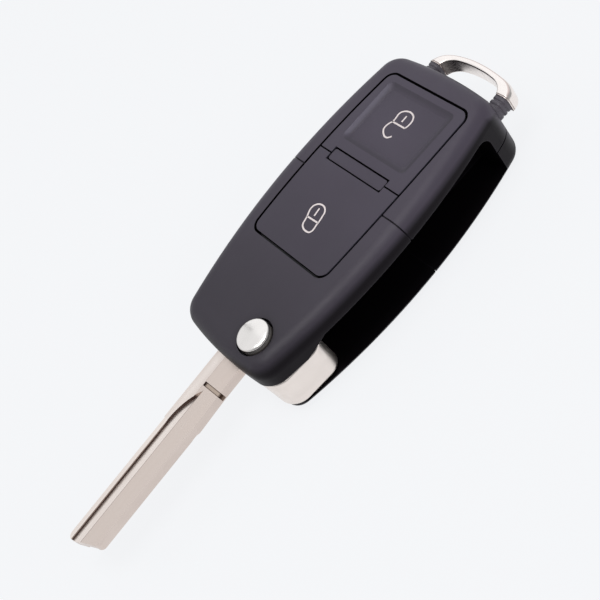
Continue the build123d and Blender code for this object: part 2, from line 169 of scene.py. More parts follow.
def new_group(name, inputs, outputs):
    """A shader node group with named sockets; returns the tree and its two end nodes' sockets."""
    tree = bpy.data.node_groups.new(name, "ShaderNodeTree")
    for label, value in inputs.items():
        socket = tree.interface.new_socket(label, in_out="INPUT", socket_type="NodeSocketFloat")
        socket.default_value = value
    for label in outputs:
        tree.interface.new_socket(label, in_out="OUTPUT", socket_type="NodeSocketFloat")
    return tree, tree.nodes.new("NodeGroupInput").outputs, tree.nodes.new("NodeGroupOutput").inputs


def moulded_grain():
    """Fine spark-eroded grain of a moulded part."""
    tree, given, out = new_group("Moulded grain", {"Grains per mm": 7.0}, ("Height", "Fleck"))
    per_metre = times(tree, given["Grains per mm"], 1 / MM)
    where = stretched(tree, (1, 1, 1))
    fine = put(tree, "ShaderNodeTexNoise", Vector=where, Scale=per_metre, Detail=3.0, Roughness=0.6)
    pits = put(tree, "ShaderNodeTexVoronoi", Vector=where, Scale=times(tree, per_metre, 0.7))
    height = plus(tree, times(tree, fine.outputs["Fac"], 0.7), pits.outputs["Distance"], 0.45)
    fill(tree, out["Height"], height)
    fill(tree, out["Fleck"], spread(tree, fine.outputs["Fac"], 0.3, 0.75))
    return tree


def rubbed_edges():
    """Where an edge is proud enough to be rubbed bright by hands and pockets."""
    tree, given, out = new_group("Rubbed edges", {"Reach": 0.3, "Wear": 0.6}, ("Mask",))
    soft = put(tree, "ShaderNodeBevel", Radius=times(tree, given["Reach"], MM))
    soft.samples = 6
    facing = tree.nodes.new("ShaderNodeNewGeometry")
    turned = tree.nodes.new("ShaderNodeVectorMath")
    turned.operation = "DOT_PRODUCT"
    fill(tree, turned.inputs[0], soft.outputs["Normal"])
    fill(tree, turned.inputs[1], facing.outputs["Normal"])
    edge = spread(tree, turned.outputs["Value"], 0.995, 0.86)
    broken = uneven(tree, 420.0, 4.0, 0.3, 0.7, 0.25)
    fill(tree, out["Mask"], sums(tree, "MULTIPLY", times(tree, edge, broken), given["Wear"], clamp=True))
    return tree


def handling_marks():
    """Finger smears and short fine scratches."""
    tree, given, out = new_group("Handling marks", {"Scratches": 0.5}, ("Smear", "Scratch"))
    smear = put(tree, "ShaderNodeTexNoise", Vector=stretched(tree, (1, 1.6, 1), 0.5), Scale=110.0,
                Detail=5.0, Roughness=0.55, Distortion=0.4)
    fill(tree, out["Smear"], spread(tree, smear.outputs["Fac"], 0.35, 0.68))
    scratches = 0.0
    for turn, scale in ((0.35, 900.0), (-0.9, 1300.0), (1.35, 1100.0)):
        hair = put(tree, "ShaderNodeTexNoise", Vector=stretched(tree, (0.06, 1, 0.06), turn), Scale=scale,
                   Detail=1.0)
        scratches = larger(tree, scratches, spread(tree, hair.outputs["Fac"], 0.70, 0.74))
    fill(tree, out["Scratch"], times(tree, scratches, given["Scratches"]))
    return tree


def dirt_and_shade_in_corners():
    """Brown grime in grooves and inside corners, which also stands in for their shade as painted shade."""
    tree, given, out = new_group("Dirt and painted shade in corners", {"Reach": 1.0, "Amount": 1.0}, ("Mask",))
    shut = put(tree, "ShaderNodeAmbientOcclusion", Distance=times(tree, given["Reach"], MM))
    shut.samples = 8
    covered = spread(tree, shut.outputs["AO"], 0.92, 0.35)
    covered = times(tree, covered, uneven(tree, 300.0, 3.0, 0.25, 0.65, 0.65))
    fill(tree, out["Mask"], sums(tree, "MULTIPLY", covered, given["Amount"], clamp=True))
    return tree


def cutter_lines():
    """Parallel lines that a milling or grinding pass leaves along the part."""
    tree, given, out = new_group("Cutter lines", {"Lines per mm": 9.0, "Turn": 0.0}, ("Height", "Tone"))
    place = tree.nodes.new("ShaderNodeTexCoord")
    turned = put(tree, "ShaderNodeVectorRotate", Vector=place.outputs["Object"], Angle=given["Turn"])
    turned.rotation_type = "Z_AXIS"
    apart = put(tree, "ShaderNodeMapping", Vector=turned.outputs["Vector"])
    apart.inputs["Scale"].default_value = (0.03, 1, 0.4)
    rate = times(tree, given["Lines per mm"], 1 / MM)
    fine = put(tree, "ShaderNodeTexNoise", Vector=apart.outputs["Vector"], Scale=rate, Detail=2.0)
    broad = put(tree, "ShaderNodeTexNoise", Vector=apart.outputs["Vector"], Scale=times(tree, rate, 0.16),
                Detail=3.0)
    fill(tree, out["Height"], fine.outputs["Fac"])
    fill(tree, out["Tone"], spread(tree, broad.outputs["Fac"], 0.3, 0.7))
    return tree


SHELTER_REACH = 9.0            # sheltered, and so left to painted shade, means that something is this near
WALL_FADE = (5.5, 9.5)      # the grease, dust and painted top light fade in over these heights, so lower walls stay darker
RING_END = (57.0, 59.0)     # but they cover the rear end down to the foot
RING_LEAN = 0.9             # how far a face turned towards the ring end counts as upward and gets painted top light
HEAD_DIMMING = (0.0, 40.0)    # painted top light with grease and dust is weaker over the head, less and less so up to here
HEAD_SHARE = 0.42           # the share of painted top light and grease left over the turning axis
SLOPE_SHADE_NEAR, SLOPE_SHADE_END = 0.8, 0.6    # how strongly painted shade darkens the hollow's near and end slopes


def paint_top_light_and_grease():
    """Painted top light with skin grease and dust on upward faces, more towards the ring end and none in
    the slot.

    Mask is that painted light and grease, Open is one on faces that nothing shelters and painted shade goes
    where it is low, and Rubbed is a painted highlight on a hollow's far slope.
    """
    tree, given, out = new_group("Painted top light and grease", {"Lean": 0.0}, ("Mask", "Open", "Rubbed"))
    place = tree.nodes.new("ShaderNodeTexCoord")
    facing = parts_of(tree, place.outputs["Normal"])
    spot = parts_of(tree, place.outputs["Object"])
    upward = plus(tree, facing["Z"], larger(tree, facing["X"], 0.0), RING_LEAN)
    shut = put(tree, "ShaderNodeAmbientOcclusion", Distance=SHELTER_REACH * MM)
    shut.samples = 6
    airy = shut.outputs["AO"]
    high = larger(tree, spread(tree, spot["Z"], *[z * MM for z in WALL_FADE]),
                  spread(tree, spot["X"], *[axis.x + x * MM for x in RING_END]))
    unsheltered = times(tree, spread(tree, upward, 0.3, 0.75), spread(tree, airy, 0.3, 0.8), high)
    fill(tree, out["Open"], unsheltered)

    # Painted shade on the hollow's near and end slopes, and a painted highlight on its far one
    slope = plus(tree, times(tree, facing["Y"], SLOPE_SHADE_NEAR), sums(tree, "ABSOLUTE", facing["X"]), SLOPE_SHADE_END)
    slope = times(tree, slope, spread(tree, spot["Z"], *[z * MM for z in PAD_SLOPE]), given["Lean"])
    fill(tree, out["Rubbed"], sums(tree, "MULTIPLY", slope, -1.0, clamp=True))
    level = times(tree, spread(tree, upward, 0.42, 0.72), spread(tree, airy, 0.68, 0.95), high,
                  uneven(tree, 90.0, 4.0, 0.3, 0.7, 0.88),
                  spread(tree, spot["X"], *[axis.x + x * MM for x in HEAD_DIMMING], HEAD_SHARE, 1.0),
                  sums(tree, "SUBTRACT", 1.0, slope))
    fill(tree, out["Mask"], sums(tree, "MINIMUM", level, 1.0))
    return tree


GRAIN = moulded_grain()
EDGES = rubbed_edges()
MARKS = handling_marks()
DIRT_AND_SHADE = dirt_and_shade_in_corners()
LINES = cutter_lines()
TOP_LIGHT_AND_GREASE = paint_top_light_and_grease()


def effect(tree, group, **values):
    """Place one of the shared effects with its own values."""
    made = tree.nodes.new("ShaderNodeGroup")
    made.node_tree = group
    for name, value in values.items():
        made.inputs[name.replace("_", " ")].default_value = value
    return made.outputs


# Finishes

def new_finish(name, **uniform):
    """A material with its Principled shader; uniform values go straight on the shader's sockets."""
    made = bpy.data.materials.new(name)
    made.use_nodes = True
    shader = made.node_tree.nodes["Principled BSDF"]
    for label, value in uniform.items():
        shader.inputs[label.replace("_", " ")].default_value = value
    return made, made.node_tree, shader


def coated(tree, shader, tone, *coats):
    """Base colour from a first tone and the coats over it, each a share and a colour."""
    for share, colour in coats:
        tone = blend(tree, share, tone, colour)
    fill(tree, shader.inputs["Base Color"], tone)


def roughened(tree, shader, rough, *marks):
    """Roughness from a first value and what each mark adds to it."""
    for mark, step in marks:
        rough = plus(tree, rough, mark, step)
    fill(tree, shader.inputs["Roughness"], rough)


def bumped(tree, shader, height, strength, depth, soft_edge=0.0):
    """Feed a height to the shader's normal; depth and the radius of softened edges in millimetres."""
    bump = put(tree, "ShaderNodeBump", Height=height, Strength=strength, Distance=depth * MM)
    if soft_edge:
        rounding = put(tree, "ShaderNodeBevel", Radius=soft_edge * MM)
        rounding.samples = 6
        fill(tree, bump.inputs["Normal"], rounding.outputs["Normal"])
    fill(tree, shader.inputs["Normal"], bump.outputs["Normal"])


GRAIN_DEPTH, CUT_DEPTH, PRINT_DEPTH = 0.03, 0.012, 0.01
SHELTER_SHADE = 0.72               # painted shade: how far plastic in the slot and on low walls loses its gleam and goes darker
SLOPE_HIGHLIGHT_TINT, EDGE_TINT = 2.6, 1.5      # how much paler than worn plastic the painted highlight on a hollow's far slope and a rubbed edge are


def moulded_plastic(name, colour, worn, grain, wear, rough=0.5, specular=0.4, depth=0.5, film_and_painted_light=None,
                    lean=0.0):
    """Moulded plastic: grain, smears, rubbed edges, and if given a paler top tone on its upward faces,
    which is painted top light with grease and dust, with painted shade where sheltered.
    """
    made, tree, shader = new_finish(name, Specular_IOR_Level=specular)
    texture = effect(tree, GRAIN, Grains_per_mm=grain)
    edge = effect(tree, EDGES, Reach=0.35, Wear=wear)
    marks = effect(tree, MARKS, Scratches=0.35)
    paint = blend(tree, times(tree, texture["Fleck"], 0.25), film_and_painted_light or colour, worn)
    paint = blend(tree, times(tree, marks["Smear"], 0.15), paint, worn)
    if film_and_painted_light:
        # Painted top light with grease and dust on open upward faces, painted highlight and painted shade
        # on a hollow's slopes, and painted shade in the slot and on low walls
        lit_and_greased = effect(tree, TOP_LIGHT_AND_GREASE, Lean=lean)
        paint = blend(tree, lit_and_greased["Mask"], colour, paint)
        paint = blend(tree, lit_and_greased["Rubbed"], paint, tinted(worn, SLOPE_HIGHLIGHT_TINT))
        fill(tree, shader.inputs["Metallic"], plus(tree, SHELTER_SHADE, lit_and_greased["Open"], -SHELTER_SHADE))
    coated(tree, shader, paint, (edge["Mask"], tinted(worn, EDGE_TINT)))
    roughened(tree, shader, rough + 0.02, (marks["Smear"], -0.07), (texture["Fleck"], 0.08),
              (edge["Mask"], -0.12), (marks["Scratch"], -0.1))
    bumped(tree, shader, texture["Height"], depth, GRAIN_DEPTH, soft_edge=0.12)
    return made


def painted_reflection_line(tree, strength):
    """Painted reflection: a thin dark line where a rounded edge turns from the top towards the ring end."""
    place = tree.nodes.new("ShaderNodeTexCoord")
    facing = parts_of(tree, place.outputs["Normal"])
    away = sums(tree, "ABSOLUTE", sums(tree, "SUBTRACT", facing["Z"], 0.86))
    return times(tree, spread(tree, away, 0.07, 0.12, strength, 0.0), spread(tree, facing["X"], 0.02, 0.15))


def worked_metal(name, bright, film_and_painted_light, rough, lines, turn=0.0, depth=0.25, corner_dirt_and_shade=1.0, reach=0.9, wear=0.3,
                 soft_edge=0.08, dark_reflection_line=0.0):
    """Nickel, chrome, steel or tin: cutter lines, scratches, brown grime with painted shade in grooves,
    bright edges, and a painted reflection line if given.
    """
    made, tree, shader = new_finish(name)
    cut = effect(tree, LINES, Lines_per_mm=lines, Turn=turn)
    edge = effect(tree, EDGES, Reach=0.2, Wear=wear)
    marks = effect(tree, MARKS, Scratches=0.6)
    # Grime and painted shade: grooves and corners go brown, darker and less metallic
    corners = effect(tree, DIRT_AND_SHADE, Reach=reach, Amount=corner_dirt_and_shade)
    coats = [(times(tree, cut["Tone"], 0.35), tinted(bright, 0.86)),
             (times(tree, marks["Smear"], 0.18), tinted(bright, 0.9)),
             (corners["Mask"], film_and_painted_light),
             (edge["Mask"], tinted(bright, 1.12, most=0.95))]
    if dark_reflection_line:
        coats.append((painted_reflection_line(tree, dark_reflection_line), tinted(film_and_painted_light, 2)))
    coated(tree, shader, bright, *coats)
    fill(tree, shader.inputs["Metallic"], plus(tree, 1.0, corners["Mask"], -0.85))
    roughened(tree, shader, rough, (cut["Tone"], 0.07), (marks["Smear"], 0.06), (corners["Mask"], 0.2),
              (marks["Scratch"], 0.1))
    height = plus(tree, cut["Height"], marks["Scratch"], -0.6)
    bumped(tree, shader, height, depth, CUT_DEPTH, soft_edge)
    return made


def along_the_blade(tree):
    """Place and facing direction in the blade's own line, in millimetres about the turning axis."""
    place = tree.nodes.new("ShaderNodeTexCoord")
    lined_up = put(tree, "ShaderNodeMapping", Vector=place.outputs["Object"])
    lined_up.vector_type = "TEXTURE"
    lined_up.inputs["Location"].default_value = (axis.x, axis.y, 0)
    lined_up.inputs["Rotation"].default_value = (0, 0, TOE)
    lined_up.inputs["Scale"].default_value = (MM, MM, MM)
    turned = put(tree, "ShaderNodeVectorRotate", Vector=place.outputs["Normal"], Angle=-TOE)
    turned.rotation_type = "Z_AXIS"
    return parts_of(tree, lined_up.outputs["Vector"]), parts_of(tree, turned.outputs["Vector"])


def blade_features(tree):
    """Masks for what milling and use leave on the blade, and for its painted light and shade, by name."""
    spot, facing = along_the_blade(tree)
    along, across, up = spot["X"], spot["Y"], spot["Z"]
    upward = spread(tree, facing["Z"], 0.7, 0.9)
    nearward = spread(tree, facing["Y"], -0.3, -0.7)
    top = sums(tree, "GREATER_THAN", up, BLADE_TOP - 0.2)

    # The track's far wall, low along the rail and full height along the flange
    wall_top = spread(tree, along, STEP_X - 1.5, STEP_X + 1.0, TRACK_BED + 0.3, BLADE_TOP)
    wall = times(tree, nearward, spread(tree, across, FLANGE_Y - 0.3, FLANGE_Y),
                 spread(tree, up, TRACK_BED - 0.3, TRACK_BED - 0.2),
                 spread(tree, sums(tree, "SUBTRACT", wall_top, up), -0.05, 0.05))

    # Painted highlight on the track bed, rail and flange
    bed = times(tree, close_to(tree, up, TRACK_BED, 0.02, 0.05), upward)
    flange = times(tree, spread(tree, across, FLANGE_Y - 0.02, FLANGE_Y + 0.06),
                   spread(tree, along, STEP_X - 0.4, STEP_X))
    rail = spread(tree, across, TRACK_FAR - 0.1, TRACK_FAR)
    raised = times(tree, spread(tree, up, BLADE_TOP - 0.6, BLADE_TOP - 0.5), upward)
    highlit_faces = larger(tree, bed, times(tree, raised, larger(tree, rail, flange)))

    # Burrs along the track's near edge, and along the flange's border past the run-out, with painted edge
    # shade
    burr_and_edge_shade = times(tree, close_to(tree, across, TRACK_NEAR - 0.03, 0.05, 0.05),
                 spread(tree, along, RUN_END + 0.6, RUN_END - 0.6), top)
    border = times(tree, close_to(tree, across, FLANGE_Y, 0.03, 0.05),
                   spread(tree, along, RUN_END - 1.0, RUN_END), top, 0.8)
    burr_and_edge_shade = larger(tree, burr_and_edge_shade, border)

    # The cross groove, with painted shade at its two edges and its floor
    groove = times(tree, close_to(tree, along, STOP_X, STOP_HALF, 0.02),
                   spread(tree, up, BLADE_TOP - 0.12, BLADE_TOP - 0.2),
                   spread(tree, up, GROOVE_LOW, GROOVE_LOW + 0.1),
                   spread(tree, across, FLANGE_Y, FLANGE_Y - 0.1))
    off_middle = sums(tree, "ABSOLUTE", sums(tree, "SUBTRACT", along, STOP_X))
    shaded_rims = times(tree, groove, larger(tree, spread(tree, up, TRACK_BED - 0.3, TRACK_BED - 0.4),
                                      spread(tree, off_middle, *GROOVE_EDGE_SHADE)))
    # Painted light: the blade's near side is made paler to match its top
    lit_near_wall = times(tree, nearward, spread(tree, across, *NEAR_WALL))
    return {"wall": wall, "lit near wall": lit_near_wall, "highlit_faces": highlit_faces, "burr_and_edge_shade": burr_and_edge_shade, "groove": groove,
            "shaded_rims": shaded_rims}


def blade_metal():
    """Nickelled blade: painted highlight on its cut faces, painted light on its near side, painted shade on
    the track wall, brown cross groove with painted shade at its edges, and burrs with painted shade along
    the track.
    """
    made, tree, shader = new_finish("blade_nickel", Metallic=1.0)
    part = blade_features(tree)
    cut = effect(tree, LINES, Lines_per_mm=7.0, Turn=-TOE)
    marks = effect(tree, MARKS, Scratches=0.5)
    corners = effect(tree, DIRT_AND_SHADE, Reach=0.2, Amount=0.4)
    # Painted shade on the track's far wall
    shaded_wall = times(tree, part["wall"], spread(tree, cut["Tone"], 0.0, 1.0, 0.80, 0.97))
    # Coats: painted highlight on cut faces, painted light on the near side, painted shade on edge lines,
    # groove edges and the track wall, and grime with painted shade in corners
    coated(tree, shader, (0.69, 0.595, 0.54),
           (part["highlit_faces"], (0.90, 0.81, 0.755)),
           (part["lit near wall"], (0.735, 0.64, 0.585)),
           (times(tree, cut["Tone"], 0.25), (0.57, 0.48, 0.43)),
           (times(tree, marks["Smear"], 0.25), (0.60, 0.505, 0.455)),
           (times(tree, part["burr_and_edge_shade"], 0.6), (0.20, 0.15, 0.14)),
           (times(tree, part["groove"], 0.8), (0.42, 0.33, 0.26)),
           (times(tree, part["shaded_rims"], 0.8), (0.10, 0.06, 0.045)),
           (corners["Mask"], (0.085, 0.045, 0.035)),
           (shaded_wall, (0.075, 0.035, 0.028)))
    roughened(tree, shader, 0.25, (cut["Tone"], 0.06), (marks["Smear"], 0.06),
              (larger(tree, corners["Mask"], part["wall"]), 0.2))
    height = plus(tree, cut["Height"], marks["Scratch"], -0.6)
    height = plus(tree, height, part["burr_and_edge_shade"], 0.8)
    bumped(tree, shader, height, 0.12, CUT_DEPTH)
    return made


def printed_ink():
    """Pinkish white print, slightly worn."""
    made, tree, shader = new_finish("printed_ink", Specular_IOR_Level=0.3)
    texture = effect(tree, GRAIN, Grains_per_mm=9.0)
    marks = effect(tree, MARKS, Scratches=0.8)
    thin = times(tree, larger(tree, marks["Scratch"], texture["Fleck"]), 0.25)
    coated(tree, shader, (0.88, 0.79, 0.78), (thin, (0.5, 0.43, 0.43)))
    roughened(tree, shader, 0.45, (texture["Fleck"], 0.15))
    bumped(tree, shader, texture["Height"], 0.3, PRINT_DEPTH)
    return made


# The third colour of each black case part is its top tone, painted top light with grease and dust; lean
# sets how strongly a push button's hollow gets painted shade and highlight
CASE_BLACK = moulded_plastic(
    "case_black", (0.0075, 0.0056, 0.0080), (0.060, 0.054, 0.072), rough=0.46, specular=0.32, grain=6.5,
    depth=0.3, wear=0.22, film_and_painted_light=(0.065, 0.053, 0.0745))
KEY_BLACK = moulded_plastic(
    "push_button_black", (0.0075, 0.0058, 0.0080), (0.062, 0.057, 0.076), rough=0.46, specular=0.32,
    grain=8.0, depth=0.3, wear=0.1, film_and_painted_light=(0.067, 0.0545, 0.0785), lean=1.3)
BRIDGE_BLACK = moulded_plastic(
    "bridge_black", (0.0075, 0.0058, 0.0080), (0.062, 0.057, 0.076), rough=0.46, specular=0.32,
    grain=8.0, depth=0.3, wear=0.1, film_and_painted_light=(0.066, 0.0535, 0.077))
SLEEVE_BLACK = moulded_plastic(
    "ring_sleeve_black", (0.080, 0.071, 0.086), (0.13, 0.117, 0.14), grain=5.0, wear=0.3)
SHEET_GREY = moulded_plastic(
    "silicone_sheet", (0.05, 0.05, 0.055), (0.08, 0.08, 0.085), rough=0.65, grain=4.0, wear=0.1)
BOARD_GREEN = moulded_plastic(
    "board_green", (0.012, 0.07, 0.03), (0.03, 0.11, 0.05), rough=0.35, grain=3.0, wear=0.4)
CHIP_BLACK = moulded_plastic(
    "chip_black", (0.02, 0.02, 0.021), (0.05, 0.05, 0.05), rough=0.55, grain=9.0, wear=0.2)
CHIP_TAN = moulded_plastic(
    "capacitor_tan", (0.32, 0.22, 0.13), (0.42, 0.32, 0.2), rough=0.4, grain=5.0, wear=0.2)
SWITCH_BEIGE = moulded_plastic(
    "switch_body", (0.05, 0.048, 0.045), (0.10, 0.095, 0.09), grain=6.0, wear=0.3)
HUB_NICKEL = worked_metal(
    "hub_nickel", (0.90, 0.825, 0.775), (0.12, 0.085, 0.06), rough=0.30, lines=5.0, turn=0.2, depth=0.06,
    corner_dirt_and_shade=0.3, wear=0.1)
BLADE_NICKEL = blade_metal()
LOOP_NICKEL = worked_metal(
    "loop_nickel", (0.95, 0.88, 0.84), (0.25, 0.16, 0.145), rough=0.15, lines=4.0, turn=1.4, depth=0.04,
    reach=4.0, wear=0.1, soft_edge=0.0, dark_reflection_line=0.5)
CAP_CHROME = worked_metal(
    "release_cap_chrome", (0.86, 0.82, 0.79), (0.08, 0.055, 0.045), rough=0.09, lines=3.0, depth=0.02,
    corner_dirt_and_shade=0.9, reach=1.4, soft_edge=0.12)
STEEL = worked_metal(
    "steel", (0.55, 0.54, 0.53), (0.12, 0.09, 0.07), rough=0.3, lines=6.0, corner_dirt_and_shade=0.6)
TINNED = worked_metal(
    "tinned_strap", (0.66, 0.62, 0.52), (0.2, 0.16, 0.1), rough=0.28, lines=7.0, corner_dirt_and_shade=0.5)
INK = printed_ink()

FINISH_OF = {
    "head_upper_shell": CASE_BLACK, "head_lower_shell": CASE_BLACK,
    "remote_upper_shell": CASE_BLACK, "remote_lower_shell": CASE_BLACK,
    "key_blade": BLADE_NICKEL, "blade_carrier": HUB_NICKEL, "blade_pin": STEEL,
    "release_button": CAP_CHROME, "flip_spring": STEEL,
    "lock_button": KEY_BLACK, "unlock_button": KEY_BLACK, "button_bridge": BRIDGE_BLACK,
    "keypad_membrane": SHEET_GREY, "circuit_board": BOARD_GREEN,
    "lock_switch": SWITCH_BEIGE, "unlock_switch": SWITCH_BEIGE,
    "lock_stem": CHIP_BLACK, "unlock_stem": CHIP_BLACK, "controller": CHIP_BLACK,
    "resonator": TINNED, "chip_capacitors": CHIP_TAN, "antenna_loop": TINNED,
    "coin_cell": STEEL, "battery_contact_negative": TINNED, "battery_contact_positive": TINNED,
    "transponder": CHIP_BLACK, "case_screw": STEEL,
    "key_ring_bail": LOOP_NICKEL, "ring_sleeves": SLEEVE_BLACK,
}
for name, finish in FINISH_OF.items():
    node[name].data.materials.clear()
    node[name].data.materials.append(finish)


# Pieces that the scene shapes itself

def new_piece(name, mesh, finish, body):
    """Finish a bmesh as a piece of the object, riding on a CAD body."""
    bmesh.ops.recalc_face_normals(mesh, faces=mesh.faces)
    data = bpy.data.meshes.new(name)
    mesh.to_mesh(data)
    mesh.free()
    data.materials.append(finish)
    made = bpy.data.objects.new(name, data)
    bpy.context.scene.collection.objects.link(made)
    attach(made, body)
    return made


def smooth_line(points, steps=8):
    """A Catmull-Rom line through a few points."""
    last = len(points) - 1
    line = []
    for i in range(last):
        a, b, c, d = (Vector(points[min(max(k, 0), last)]) for k in (i - 1, i, i + 1, i + 2))
        for s in range(steps):
            t = s / steps
            line.append(0.5 * ((2 * b) + (c - a) * t + (2 * a - 5 * b + 4 * c - d) * t * t
                               + (3 * b - a - 3 * c + d) * t ** 3))
    line.append(Vector(points[-1]))
    return line


def points_along(line, shares):
    """Points of the line at the given shares of its length."""
    run = [0.0]
    for a, b in zip(line, line[1:]):
        run.append(run[-1] + (b - a).length)
    found = []
    piece = 0
    for share in shares:
        wanted = run[-1] * share
        while piece < len(line) - 2 and run[piece + 1] < wanted:
            piece += 1
        part = (wanted - run[piece]) / (run[piece + 1] - run[piece])
        found.append(line[piece].lerp(line[piece + 1], min(part, 1.0)))
    return found


def rounded_section(wide, high, radii, points):
    """Outline of a bar's section about its centre, with a radius and a count of points a corner."""
    outline = []
    for quarter, (side, up) in enumerate(((1, 1), (-1, 1), (-1, -1), (1, -1))):
        r = radii[quarter]
        for k in range(points):
            turn = math.radians(90 * (quarter + k / (points - 1)))
            outline.append((side * (wide / 2 - r) + r * math.cos(turn),
                            up * (high / 2 - r) + r * math.sin(turn)))
    return outline


def skin(mesh, rows, smooth):
    """Close a row of sections into a solid bar with flat ends."""
    for a, b in zip(rows, rows[1:]):
        for k in range(len(a)):
            beside = (k + 1) % len(a)
            mesh.faces.new((a[k], a[beside], b[beside], b[k])).smooth = smooth
    mesh.faces.new(rows[0])
    mesh.faces.new(rows[-1])


# Key ring loop, seen from above: its outer and inner line, from the far leg round to the near one
LOOP_OUTER = [
    (62.7, 19.35), (63.3, 19.05), (64.4, 18.2), (65.3, 16.9), (65.95, 15.1), (66.4, 12.8),
    (66.65, 10.5), (66.7, 8.2), (66.65, 6.0), (66.5, 4.0), (66.3, 2.2), (66.05, 0.6), (65.75, -0.6),
    (65.2, -1.7), (64.3, -2.6), (63.2, -2.97), (62.7, -3.0)]
LOOP_INNER = [
    (62.7, 16.3), (63.8, 15.6), (64.45, 14.7), (64.9, 13.7), (65.2, 12.2),
    (65.4, 10.3), (65.45, 8.0), (65.35, 5.8), (65.15, 4.2), (64.95, 3.0), (64.6, 2.05), (64.05, 1.2),
    (63.3, 0.5), (62.7, 0.2)]
LOOP_Z, LOOP_HIGH, LOOP_ROUND = 9.5, 3.8, 0.42
LOOP_SHOULDER, SHOULDER_SHARE = 1.2, 0.36       # its radius, or this share of the width if less
LOOP_GROOVE = 0.13                              # depth of the groove that sets off each leg's rim
RIM_STATIONS = (0.0, 0.0068)                    # shares of the line's length with the full section
GROOVE_STATIONS = (0.0072, 0.0076, 0.0138, 0.0142)
GROOVE_END, ARCH_START, ARCH_STEPS = 0.0146, 0.02, 90


def key_ring_loop():
    """Cast loop, wide at its legs and narrow over the arch, with a thin rim at each leg's end."""
    leg = [(share, 0.0) for share in RIM_STATIONS]
    leg += [(share, LOOP_GROOVE) for share in GROOVE_STATIONS] + [(GROOVE_END, 0.0)]
    arch = [(ARCH_START + (1 - 2 * ARCH_START) * i / ARCH_STEPS, 0.0) for i in range(ARCH_STEPS + 1)]
    stations = leg + arch + [(1 - share, inset) for share, inset in reversed(leg)]
    shares = [share for share, inset in stations]
    outer = points_along(smooth_line(LOOP_OUTER), shares)
    inner = points_along(smooth_line(LOOP_INNER), shares)
    mesh = bmesh.new()
    rows = []
    for out_point, in_point, (share, inset) in zip(outer, inner, stations):
        middle = (out_point + in_point) / 2
        across = out_point - in_point
        wide, high = across.length - 2 * inset, LOOP_HIGH - 2 * inset
        across.normalize()
        shoulder = min(LOOP_SHOULDER, SHOULDER_SHARE * wide)
        section = rounded_section(wide, high, (shoulder, LOOP_ROUND, LOOP_ROUND, LOOP_ROUND), points=9)
        rows.append([mesh.verts.new(at(*(middle + across * u), LOOP_Z + v)) for u, v in section])
    skin(mesh, rows, smooth=True)
    made = new_piece("key_ring_loop", mesh, LOOP_NICKEL, "case")
    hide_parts("key_ring_bail")


# Sleeves: the sides of each, their height, and how far the surface sinks along them
SLEEVE_SPANS = ((-2.9, 0.65), (16.15, 19.4))
SLEEVE_LOW, SLEEVE_TOP, SLEEVE_ROUND = 7.8, 11.25, 1.2
SLEEVE_START, SLEEVE_END = 58.8, 62.6
SLEEVE_GROOVES = (60.4, 61.4)       # where each of the two grooves starts
GROOVE_PROFILE = ((0.0, 0.0), (0.15, 0.04), (0.25, 0.2), (0.45, 0.2), (0.55, 0.04), (0.7, 0.0))
SLEEVE_LIP = (62.8, 0.06)


def ring_sleeves():
    """Soft ribbed sleeves that the loop's two legs go into at the case."""
    profile = [(SLEEVE_START, 0.0)]
    for start in SLEEVE_GROOVES:
        profile += [(start + run, sink) for run, sink in GROOVE_PROFILE]
    profile += [(SLEEVE_END, 0.0), SLEEVE_LIP]
    mesh = bmesh.new()
    for near, far in SLEEVE_SPANS:
        middle_y, middle_z = (near + far) / 2, (SLEEVE_LOW + SLEEVE_TOP) / 2
        rows = []
        for x, sink in profile:
            section = rounded_section(far - near - 2 * sink, SLEEVE_TOP - SLEEVE_LOW - 2 * sink,
                                      [SLEEVE_ROUND] * 4, points=6)
            rows.append([mesh.verts.new(at(x, middle_y + u, middle_z + v)) for u, v in section])
        skin(mesh, rows, smooth=True)
    made = new_piece("ribbed_sleeves", mesh, SLEEVE_BLACK, "case")
    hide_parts("ring_sleeves")


# Release button: radii and heights, and the crown as radius and drop below the top
CAP_TOP, CAP_R = 17.25, 3.36
CAP_CROWN = ((0, 0), (0.8, 0.01), (1.6, 0.06), (2.3, 0.13), (2.85, 0.21), (3.1, 0.28), (3.26, 0.38),
             (CAP_R, 0.54))
FLANGE_R, FLANGE_TOP, FLANGE_LOW = 4.22, 12.2, 11.0
STEM_R, STEM_LOW = 2.0, 5.6
CAP_SIDES = 72


def release_cap():
    """Turned button: crowned bright cap with a crisp edge, retaining flange and stem."""
    profile = [(r, CAP_TOP - drop) for r, drop in CAP_CROWN]
    profile += [(CAP_R, FLANGE_TOP), (FLANGE_R, FLANGE_TOP), (FLANGE_R, FLANGE_LOW),
                (STEM_R, FLANGE_LOW), (STEM_R, STEM_LOW), (0, STEM_LOW)]
    turns = [2 * math.pi * i / CAP_SIDES for i in range(CAP_SIDES)]
    mesh = bmesh.new()
    rows = []
    for r, z in profile:
        if r == 0:
            rows.append([mesh.verts.new(at(0, 0, z))] * CAP_SIDES)
        else:
            rows.append([mesh.verts.new(at(r * math.cos(turn), r * math.sin(turn), z)) for turn in turns])
    for level, (a, b) in enumerate(zip(rows, rows[1:])):
        for i in range(CAP_SIDES):
            beside = (i + 1) % CAP_SIDES
            corners = dict.fromkeys((a[i], a[beside], b[beside], b[i]))
            mesh.faces.new(list(corners)).smooth = level < len(CAP_CROWN) - 1
    made = new_piece("release_cap", mesh, CAP_CHROME, "release")
    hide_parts("release_button")


